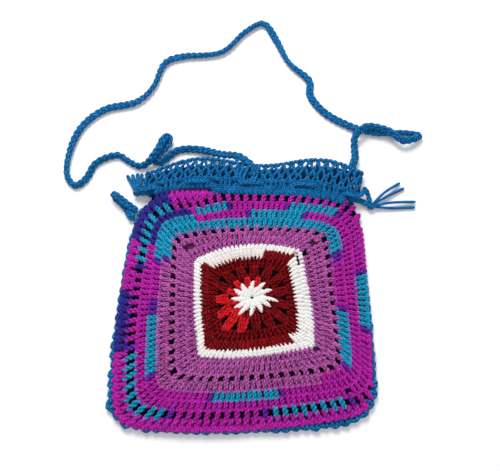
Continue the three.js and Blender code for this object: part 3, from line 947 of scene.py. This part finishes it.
def band_rows():
    """The close rows at the foot of the band, and the pillars that the drawstring is woven between."""
    yarn = Yarn("mouth_band_rows")
    band_row(yarn, SINGLE, -1.6, 3.6, CLOSE_STITCH, radius=1.1, keep=beside_the_short_row)
    band_row(yarn, SINGLE, 1.4, 3.4, CLOSE_STITCH, radius=1.05, shift=0.5, keep=beside_the_short_row)
    band_row(yarn, SINGLE, 4.2, 3.4, CLOSE_STITCH, radius=1.05, keep=inside_the_ends)
    band_row(yarn, PILLAR, 7.0, 7.0, CLOSE_STITCH, radius=1.15, keep=away_from_eyelets)
    band_row(yarn, SINGLE, 13.0, 2.4, CLOSE_STITCH, radius=1.25)
    return yarn.make()


def band_mesh():
    """The open mesh of the band, with its lip."""
    yarn = Yarn("mouth_band_mesh")
    band_row(yarn, LATTICE, 14.6, 5.8, MESH_PITCH, radius=1.35)
    band_row(yarn, LATTICE, 20.4, 5.8, MESH_PITCH, radius=1.35, shift=0.5)
    band_row(yarn, LATTICE, 26.0, 6.6, MESH_PITCH, radius=1.35)
    band_row(yarn, LIP, 31.9, 2.6, LIP_STITCH, radius=1.7)
    return yarn.make()


# The thin dark sheet of painted shade inside the band's back layer
SHADE_SHEET_TOP = 33.5
SHADE_SHEET_BOTTOM = -1.0
SHADE_SHEET_HEIGHT = 3.6
SHADE_SHEET_MARGIN = 6
SHADE_SHEET_POINTS = (61, 6)


def band_shade_sheet():
    """Painted shade: a thin dark closed sheet on the inside of the band's back layer, standing in for its
    shadowed inside seen through the front's holes.
    """
    x, offset = np.meshgrid(
        np.linspace(SHADE_SHEET_MARGIN - BAND_HALF, BAND_HALF - SHADE_SHEET_MARGIN, SHADE_SHEET_POINTS[0]),
        np.linspace(SHADE_SHEET_BOTTOM, SHADE_SHEET_TOP, SHADE_SHEET_POINTS[1]),
    )
    rows, columns = x.shape
    upper = leaned(x, band_y(x, offset), SHADE_SHEET_HEIGHT).reshape(-1, 3)
    under = len(upper)
    number = np.arange(under).reshape(rows, columns)
    faces = []
    for i in range(rows - 1):
        for j in range(columns - 1):
            quad = [number[i, j], number[i, j + 1], number[i + 1, j + 1], number[i + 1, j]]
            faces += [quad, [under + v for v in quad[::-1]]]
    rim = [*number[0], *number[1:, -1], *number[-1, -2::-1], *number[-2:0:-1, 0]]
    for a, b in zip(rim, rim[1:] + rim[:1]):
        faces.append([a, under + a, under + b, b])
    verts = np.concatenate([upper, upper - [0, 0, SHEET_THICKNESS]])
    faces = np.array(faces)
    return make_piece("mouth_band_shade_sheet", verts, faces, np.zeros(len(faces)), [SHADED_GROUNDS["blue"]])


# The joining edge

CURVE_POINTS = 60


def curve(start, turn, end):
    """Points on the curve from start to end that heads for turn."""
    u = np.linspace(0, 1, CURVE_POINTS)[:, None]
    return (1 - u) ** 2 * np.array(start) + 2 * u * (1 - u) * np.array(turn) + u**2 * np.array(end)


def joined_side(count):
    """Evenly spaced points and outward directions along the squares' left, bottom and right sides."""
    top_left = seam_y(-SQUARE_TOP_HALF) - SEAM_GAP
    top_right = seam_y(SQUARE_TOP_HALF) - SEAM_GAP
    corner = SQUARE_BOTTOM + BOTTOM_BOW
    left, right = LEFT_CORNER - SQUARE_HALF, SQUARE_HALF - RIGHT_CORNER
    left_turn = corner + LEFT_CORNER * 2 * BOTTOM_BOW / (BOW_LEAN - left)
    right_turn = corner + RIGHT_CORNER * 2 * BOTTOM_BOW / (right - BOW_LEAN)
    bends = [
        [(-SQUARE_TOP_HALF, top_left), (-SQUARE_HALF, top_left / 2), (-SQUARE_HALF, corner + LEFT_CORNER)],
        [(-SQUARE_HALF, corner + LEFT_CORNER), (-SQUARE_HALF, left_turn), (left, corner)],
        [(left, corner), (BOW_LEAN, corner - 2 * BOTTOM_BOW), (right, corner)],
        [(right, corner), (SQUARE_HALF, right_turn), (SQUARE_HALF, corner + RIGHT_CORNER)],
        [(SQUARE_HALF, corner + RIGHT_CORNER), (SQUARE_HALF, top_right / 2), (SQUARE_TOP_HALF, top_right)],
    ]
    path = np.concatenate([curve(*bend) for bend in bends])
    path[:, 0] += lean(path[:, 1])
    points, length = evenly_along(path, count)
    tangent = unit(np.gradient(points, axis=0))
    return points, np.stack([tangent[:, 1], -tangent[:, 0]], axis=1), length


# A scallop: three strands, each of points as (along in scallops, out from the squares, height)
SCALLOP = [
    [(-0.30, -4.5, 3.2), (-0.26, 2.2, 5.0), (-0.17, 4.6, 4.8),
     (-0.13, 5.0, 3.6), (-0.2, 3.2, 2.2), (-0.3, -1.0, 2.1)],
    [(0.20, -4.5, 3.4), (0.20, 2.6, 5.3), (0.16, 5.2, 5.0),
     (0.13, 5.5, 3.4), (0.16, 3.2, 2.2), (0.2, -1.0, 2.1)],
    [(-0.55, 2.2, 3.9), (-0.3, 4.2, 4.4), (0.05, 5.4, 4.2), (0.35, 4.2, 3.8), (0.58, 2.2, 3.6)],
]
SCALLOP_RADIUS = 1.9
SCALLOP_PITCH = 9.4
SCALLOP_SWELL = 0.1
EDGE_POINTS = 1200

# How far the scallops stand out, at shares of the way from the top left, round the bottom, to the top right
BULGE_PLACES = [0, 0.12, 0.2, 0.25, 0.36, 0.42, 0.52, 0.6, 0.66, 0.72, 1]
BULGES = [0.5, 0.6, 1.0, 1.35, 1.3, 0.9, 0.85, 1.15, 1.15, 0.75, 0.7]


def joining_edge():
    """Scallops along the sides where the squares are joined."""
    yarn = Yarn("joining_edge_stitches")
    points, outward, length = joined_side(EDGE_POINTS)
    count = round(length / SCALLOP_PITCH)
    numbers = np.arange(1, count - 1) + 0.5
    bulge = np.interp(numbers / count, BULGE_PLACES, BULGES)
    swell = bulge[:, None] * (1 + rng.normal(0, SCALLOP_SWELL, (len(numbers), 1)))
    index = np.arange(EDGE_POINTS)
    for route in SCALLOP:
        shape = np.array(route)
        at = np.clip((numbers[:, None] + shape[:, 0]) / count * index[-1], 0, index[-1])
        x, y = (np.interp(at, index, points[:, k]) for k in range(2))
        ox, oy = (np.interp(at, index, outward[:, k]) for k in range(2))
        across = SEAM_GAP + swell * shape[:, 1]
        paths = np.stack([x + ox * across, y + oy * across, shape[:, 2] + 0 * x], axis=-1)
        yarn.add(smooth(paths, 2), SCALLOP_RADIUS, "blue")
    return yarn.make()


# Cords

ROUTE_STEPS = 24
BRAID_STEP = 1.0
BRAID_GAP = 0.2  # between the table and the lowest strand
CORD_SIDES = 8


def braid(name, route, width, thick, radius, pitch, twist=None):
    """A flat braid of three strands along a route, turning by twist (degrees at shares of its length)."""
    fine = smooth(np.array(route, float), ROUTE_STEPS)
    path, length = evenly_along(fine, max(2, round(run_along(fine)[-1] / BRAID_STEP)))
    run = np.linspace(0, length, len(path))
    tangent = unit(np.gradient(path, axis=0))
    side = unit(np.cross(tangent, [0, 0, 1.0]))
    up = np.cross(side, tangent)
    turn = np.zeros(len(path))
    if twist:
        turn = np.radians(np.interp(run / length, [t[0] for t in twist], [t[1] for t in twist]))
    across = side * np.cos(turn)[:, None] + up * np.sin(turn)[:, None]
    through = up * np.cos(turn)[:, None] - side * np.sin(turn)[:, None]
    strands = []
    for k in range(3):
        phase = 2 * np.pi * (run / pitch + k / 3)
        lateral = (width / 2 - radius) * np.sin(phase)
        depth = (thick / 2 - radius) * np.sin(2 * phase)
        points = path + across * lateral[:, None] + through * depth[:, None]
        points[:, 2] = np.maximum(points[:, 2], radius + BRAID_GAP)
        strands.append(points)
    yarn = Yarn(name)
    yarn.add(np.array(strands), radius, "blue", CORD_SIDES)
    return yarn.make(), path, length


def metres(points):
    return [[float(c) * MM for c in p] for p in points]


STRAP_ROUTE = [
    [-3, 140, 22.3], [-12, 144.5, 18.5], [-26, 149.5, 11.2], [-48, 158.5, 4], [-70, 158.5, 3.5],
    [-83, 149.5, 3.4], [-90.5, 143.5, 3.4], [-96.5, 146, 3.5], [-94.5, 152, 3.6], [-87, 159.5, 3.6],
    [-82, 167, 4], [-82.5, 172.5, 7], [-87.5, 168, 10.4], [-91.5, 158, 10.7], [-98, 147, 10.4],
    [-105, 141, 5.4], [-114, 139, 3.6], [-125, 145, 3.4], [-138, 152, 3.4], [-159, 143, 3.4],
    [-169, 124, 3.4], [-180.5, 116.5, 3.4], [-190.5, 132, 3.4], [-188, 163, 3.4], [-176.5, 189.5, 3.4],
    [-154, 208.5, 3.4], [-121, 217.5, 3.4], [-102.5, 237, 3.4], [-91, 267.5, 3.4], [-70, 277, 3.4],
    [-27, 282.5, 3.4], [-0.5, 309, 3.4], [21.5, 322, 3.4], [36, 299.5, 3.4], [50, 269, 3.4],
    [72, 246, 3.4], [73.5, 225, 3.4], [90, 203, 3.4], [117, 187, 3.4], [146, 178.5, 3.4],
    [172, 179.5, 3.4], [191, 175.5, 4.5], [172, 166.5, 9.5], [157, 177.5, 10.5], [137, 183.5, 10.2],
    [126, 179, 10.8], [119.5, 171, 8.5], [119, 160, 5], [119, 148, 6.5],
]
STRAP_TWIST = [
    (0, 0), (0.06, 0), (0.1, 60), (0.16, 20), (0.22, 80), (0.28, 60), (0.33, 70), (0.37, 10), (0.43, 0),
    (0.47, 75), (0.52, 10), (0.56, 60), (0.61, 80), (0.65, 10), (0.69, 80), (0.73, 0), (0.79, 0),
    (0.85, 70), (0.93, 60), (1, 20),
]
STRAP_RADIUS = 3.3
STRAP_START = 0
STRAP_SEWN = np.array([19, 28])
STRAP_STANDOFF = 1.8
STRAP_END = 104
STRAP_LEADS = (4, 0)


def strap_route():
    """From where it is sewn to the front of the band, round the table, to the lip's right end."""
    height = front_layer(STRAP_START, STRAP_SEWN / BAND_HEIGHT) + STRAP_STANDOFF + STRAP_RADIUS
    start = leaned(STRAP_START, band_y(STRAP_START, STRAP_SEWN), height)
    lip = band_y(STRAP_END - STRAP_RADIUS, BAND_HEIGHT) + SEAM_GAP
    end = [[STRAP_END + lean(lip), lip + lead, LAYER_SPACING] for lead in STRAP_LEADS]
    return [*start, *STRAP_ROUTE, *end]


# Strands of the strap's end, sewn over the front of the band: places along the band and above its seam
SEWN_STRANDS = [
    [(-21, 37), (-16.5, 27), (-16, 16), (-9, 7.5)],
    [(-14, 37), (-12, 27), (-13, 17), (-8, 9)],
    [(-8, 35), (-7, 26), (-9, 16), (-5, 8)],
    [(1, 33), (0, 26), (0.5, 18.5), (-2, 10.5)],
    [(5, 31), (4, 25), (4, 18), (2, 12)],
]
SEWN_HEIGHTS = [3.5, 4.2, 4.2, 3.0]
SEWN_RADIUS = 1.8


def strap_sewn_end():
    """The strap's loose strands where it is sewn to the front of the band."""
    yarn = Yarn("strap_sewn_strands")
    for places in SEWN_STRANDS:
        x, offset = np.array(places, float).T
        z = front_layer(x, np.minimum(1, offset / BAND_HEIGHT)) + SEWN_HEIGHTS
        path = smooth(leaned(x, band_y(x, offset), z)[None], 8)
        yarn.add(path, SEWN_RADIUS, "blue", CORD_SIDES)
    return yarn.make()


def eyelet_y(x):
    return seam_y(x) + EYELET_MIDDLE


def beside_band(end, across, along, z):
    """A place beside the band's left end (-1) or right end (1), level with the eyelets."""
    y = eyelet_y(end * BAND_HALF)
    return np.array([end * (BAND_HALF + across) + lean(y), y + along, z])


LEFT_KNOT = beside_band(-1, 10.5, -0.5, 6.5)
RIGHT_KNOT = beside_band(1, 17.5, -7.5, 5)
KNOT_RADIUS = 4
STRING_OFFSET = 3.9
WEAVE_STEP = 3.0
BACK_STRING_HEIGHT = 5.4


def knot_face(knot, *direction):
    """Where a string meets a knot, in a direction from its middle."""
    return knot + (KNOT_RADIUS + SEAM_GAP) * np.array(direction) / np.linalg.norm(direction)


def front_string_route():
    """Out and in through the eyelets of the band's front layer, and down to a knot at each end."""
    x = np.arange(-BAND_HALF, BAND_HALF + WEAVE_STEP / 2, WEAVE_STEP)
    side = np.ones(len(x))
    for eyelet in EYELETS_ON_FRONT:
        side *= -np.sin(np.clip((x - eyelet) / EYELET_HALF, -1, 1) * np.pi / 2)
    z = front_layer(x, EYELET_MIDDLE / BAND_HEIGHT) + side * STRING_OFFSET
    woven = leaned(x, eyelet_y(x), z)
    start = [knot_face(LEFT_KNOT, 0.6, 0, 0.8), beside_band(-1, 5.5, 0, 14)]
    end = [beside_band(1, 7.5, 2.5, 13), beside_band(1, 9.8, 7, 11.5), beside_band(1, 12, 10.5, 9.5)]
    end += [beside_band(1, 14.5, 6, 7.5), beside_band(1, 16.5, -1, 6)]
    return [*start, *woven, *end, knot_face(RIGHT_KNOT, -0.2, 0.97, 0.15)]


def back_string_route():
    """Along the inside of the band's back layer, and out at both ends to the knots."""
    x = np.linspace(-BAND_HALF, BAND_HALF, 5)
    inside = leaned(x, eyelet_y(x), BACK_STRING_HEIGHT)
    end = [beside_band(1, 9, -2.5, BACK_STRING_HEIGHT), knot_face(RIGHT_KNOT, -0.86, 0.5, 0)]
    return [knot_face(LEFT_KNOT, 1, -0.1, -0.1), *inside, *end]


# The side loop's bends, from where it starts
LOOP_ROUTE = [
    [-9, 4.5, 2.8], [-16, 9.5, 5], [-21, 13.5, 5.6], [-25.5, 16.8, 2],
    [-22, 13, -1.2], [-16, 7.5, -1.4], [-10, 0.5, -1.4],
]
LOOP_DROP = 10
LOOP_WIDTH = 8
LOOP_GAP = 0.75
LOOP_LEAD = 4
LOOP_SIDE_POINTS = 401


def loop_route():
    """Out from the joining edge beside the mouth, and back under itself."""
    points, outward, _ = joined_side(LOOP_SIDE_POINTS)
    left = len(points) // 2

    def outside(y, lead):
        near = int(np.argmax(points[:left, 1] < y))
        place = points[near] + outward[near] * (EDGE_WIDTH + LOOP_GAP + lead)
        return np.array([place[0], place[1], EDGE_HEIGHT / 2])

    upper = seam_y(-SQUARE_TOP_HALF) - LOOP_DROP
    lower = upper - LOOP_WIDTH
    start = outside(upper, 0)
    bent = [start + np.array(offset) for offset in LOOP_ROUTE]
    return [start, outside(upper, LOOP_LEAD), *bent, outside(lower, LOOP_LEAD), outside(lower, 0)]


# The cut yarn ends at each knot: two bends of each, from the middle of the knot
LEFT_ENDS = [
    [[-4, 8, -1.5], [-12, 22, -4.9]],
    [[-2, 9, -0.5], [-6.5, 23, -4.4]],
    [[0.5, 10, 0], [-1, 24, -4]],
    [[3, 9, 1], [4, 23, -3]],
]
RIGHT_ENDS = [
    [[15, 15, 1], [33, 28, -3.3]],
    [[19, 12.5, -1.5], [37, 22, -3.3]],
    [[21, 4, 0], [48, 6, -2.5]],
    [[21, -1, -2.5], [47, 0, -3.3]],
]
KNOT_TURNS = [(0.2, 0.0), (1.2, 0.7), (1.9, 2.2)]  # the tilt and spin of each, in radians
TURN_RADIUS = 2.5
TURN_RISE = 2.1
TURN_CORD = 1.5
TURN_POINTS = 25
LOWEST_END = 1.75  # the lowest that the middle of a yarn end lies, in its thickness


def tassel(name, knot, ends, thick):
    """A knot wound from three turns of cord, with its cut yarn ends."""
    yarn = Yarn(name)
    turn = np.linspace(0, 2 * np.pi, TURN_POINTS)
    for tilt, spin in KNOT_TURNS:
        x = TURN_RADIUS * np.cos(turn)
        y = TURN_RADIUS * np.sin(turn) * math.cos(tilt)
        z = TURN_RISE * np.sin(turn) * math.sin(tilt)
        c, s = math.cos(spin), math.sin(spin)
        wound = np.stack([c * x - s * y, s * x + c * y, z], axis=1)
        yarn.add((knot + wound)[None], TURN_CORD, "blue", CORD_SIDES)
    for bends in ends:
        route = np.array([knot, *[knot + np.array(bend) for bend in bends]])
        path = smooth(route[None], 10)
        path[..., 2] = np.maximum(path[..., 2], LOWEST_END * thick)
        thickness = np.interp(np.linspace(0, 1, path.shape[1]), [0, 0.85, 0.97, 1], [1.3, 1.5, 1.65, 1.0])
        yarn.add(path, thick * thickness, "blue", CORD_SIDES)
    return yarn.make()


# Camera, at the photograph's angle, in metres

SENSOR_WIDTH = 36
FOCAL_PIXELS = 720
PHOTO_WIDTH = 500
TARGET = Vector((6 * MM, 61 * MM, 0))
TILT = math.radians(20)
CAMERA_DISTANCE = 0.75

scene = bpy.context.scene
scene.view_settings.view_transform = "Standard"
camera_data = bpy.data.cameras.new("camera")
camera_data.sensor_width = SENSOR_WIDTH
camera_data.lens = SENSOR_WIDTH * FOCAL_PIXELS / PHOTO_WIDTH
camera = bpy.data.objects.new("camera", camera_data)
camera.location = TARGET + Vector((0, -math.sin(TILT), math.cos(TILT))) * CAMERA_DISTANCE
camera.rotation_euler = (TILT, 0, 0)
scene.collection.objects.link(camera)
scene.camera = camera

# The pieces: cords, squares, mouth band and joining edge

strap, strap_path, strap_length = braid(
    "strap_braid", strap_route(), width=8.8, thick=6.2, radius=2.0, pitch=20, twist=STRAP_TWIST
)
front_string, front_path, front_length = braid(
    "front_string_braid", front_string_route(), width=5.4, thick=4.2, radius=1.3, pitch=13
)
back_string, back_path, back_length = braid(
    "back_string_braid", back_string_route(), width=6.4, thick=4.4, radius=1.65, pitch=12
)
side_loop, side_path, side_length = braid(
    "side_loop_braid", loop_route(), width=8.4, thick=5.6, radius=1.9, pitch=17
)
sewn_end = strap_sewn_end()
left_tassel = tassel("left_knot_ends", LEFT_KNOT, LEFT_ENDS, thick=1.3)
right_tassel = tassel("right_knot_ends", RIGHT_KNOT, RIGHT_ENDS, thick=1.05)

# The ground sheets carry painted shade behind the stitches
front_ground = ground_sheet("front_ground", back=False)
back_ground = ground_sheet("back_ground", back=True)
front_rounds = work_square("front", back=False)
back_rounds = work_square("back", back=True)
band_foot = band_rows()
band = band_mesh()
# Painted shade: the dark sheet inside the band's back layer
inside = band_shade_sheet()
edge = joining_edge()

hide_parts("front_square")
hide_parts("back_square")
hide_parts("mouth_band")
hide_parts("joining_edge")
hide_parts("shoulder_strap")
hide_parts("front_drawstring")
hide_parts("back_drawstring")
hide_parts("left_tassel")
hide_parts("right_tassel")
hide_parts("side_loop")

metres(strap_path[:1])[0]
metres(strap_path)
metres(front_path[:1])[0]
metres(front_path)
metres(back_path[:1])[0]
metres(back_path)
metres(side_path[:1])[0]
metres(side_path)

# Table and light, in metres

TABLE_SIZE = 6
TABLE_DROP = 0.0002
TABLE_COLOUR = (0.93, 0.93, 0.94, 1)
TABLE_ROUGHNESS = 0.7
SKY_COLOUR = (1, 1, 1, 1)
SKY_STRENGTH = 0.4


def table_material():
    material = bpy.data.materials.new("table")
    material.use_nodes = True
    shader = material.node_tree.nodes["Principled BSDF"]
    shader.inputs["Base Color"].default_value = TABLE_COLOUR
    shader.inputs["Roughness"].default_value = TABLE_ROUGHNESS
    return material


bpy.ops.mesh.primitive_plane_add(size=TABLE_SIZE, location=(0, 0, -TABLE_DROP))
table = bpy.context.object
table.name = "table"
table.data.materials.append(table_material())

world = bpy.data.worlds.new("studio")
scene.world = world
world.use_nodes = True
sky = world.node_tree.nodes["Background"]
sky.inputs["Color"].default_value = SKY_COLOUR
sky.inputs["Strength"].default_value = SKY_STRENGTH


def area_light(name, location, target, size, power):
    data = bpy.data.lights.new(name, "AREA")
    data.size = size
    data.energy = power
    light = bpy.data.objects.new(name, data)
    light.location = location
    light.rotation_euler = (Vector(target) - Vector(location)).to_track_quat("-Z", "Y").to_euler()
    scene.collection.objects.link(light)


area_light("key", (-0.25, 0.95, 1.15), target=(0, 0, 0), size=0.7, power=20)
area_light("fill", (0.3, -0.6, 1.5), target=(0, 0.05, 0), size=1.4, power=8)
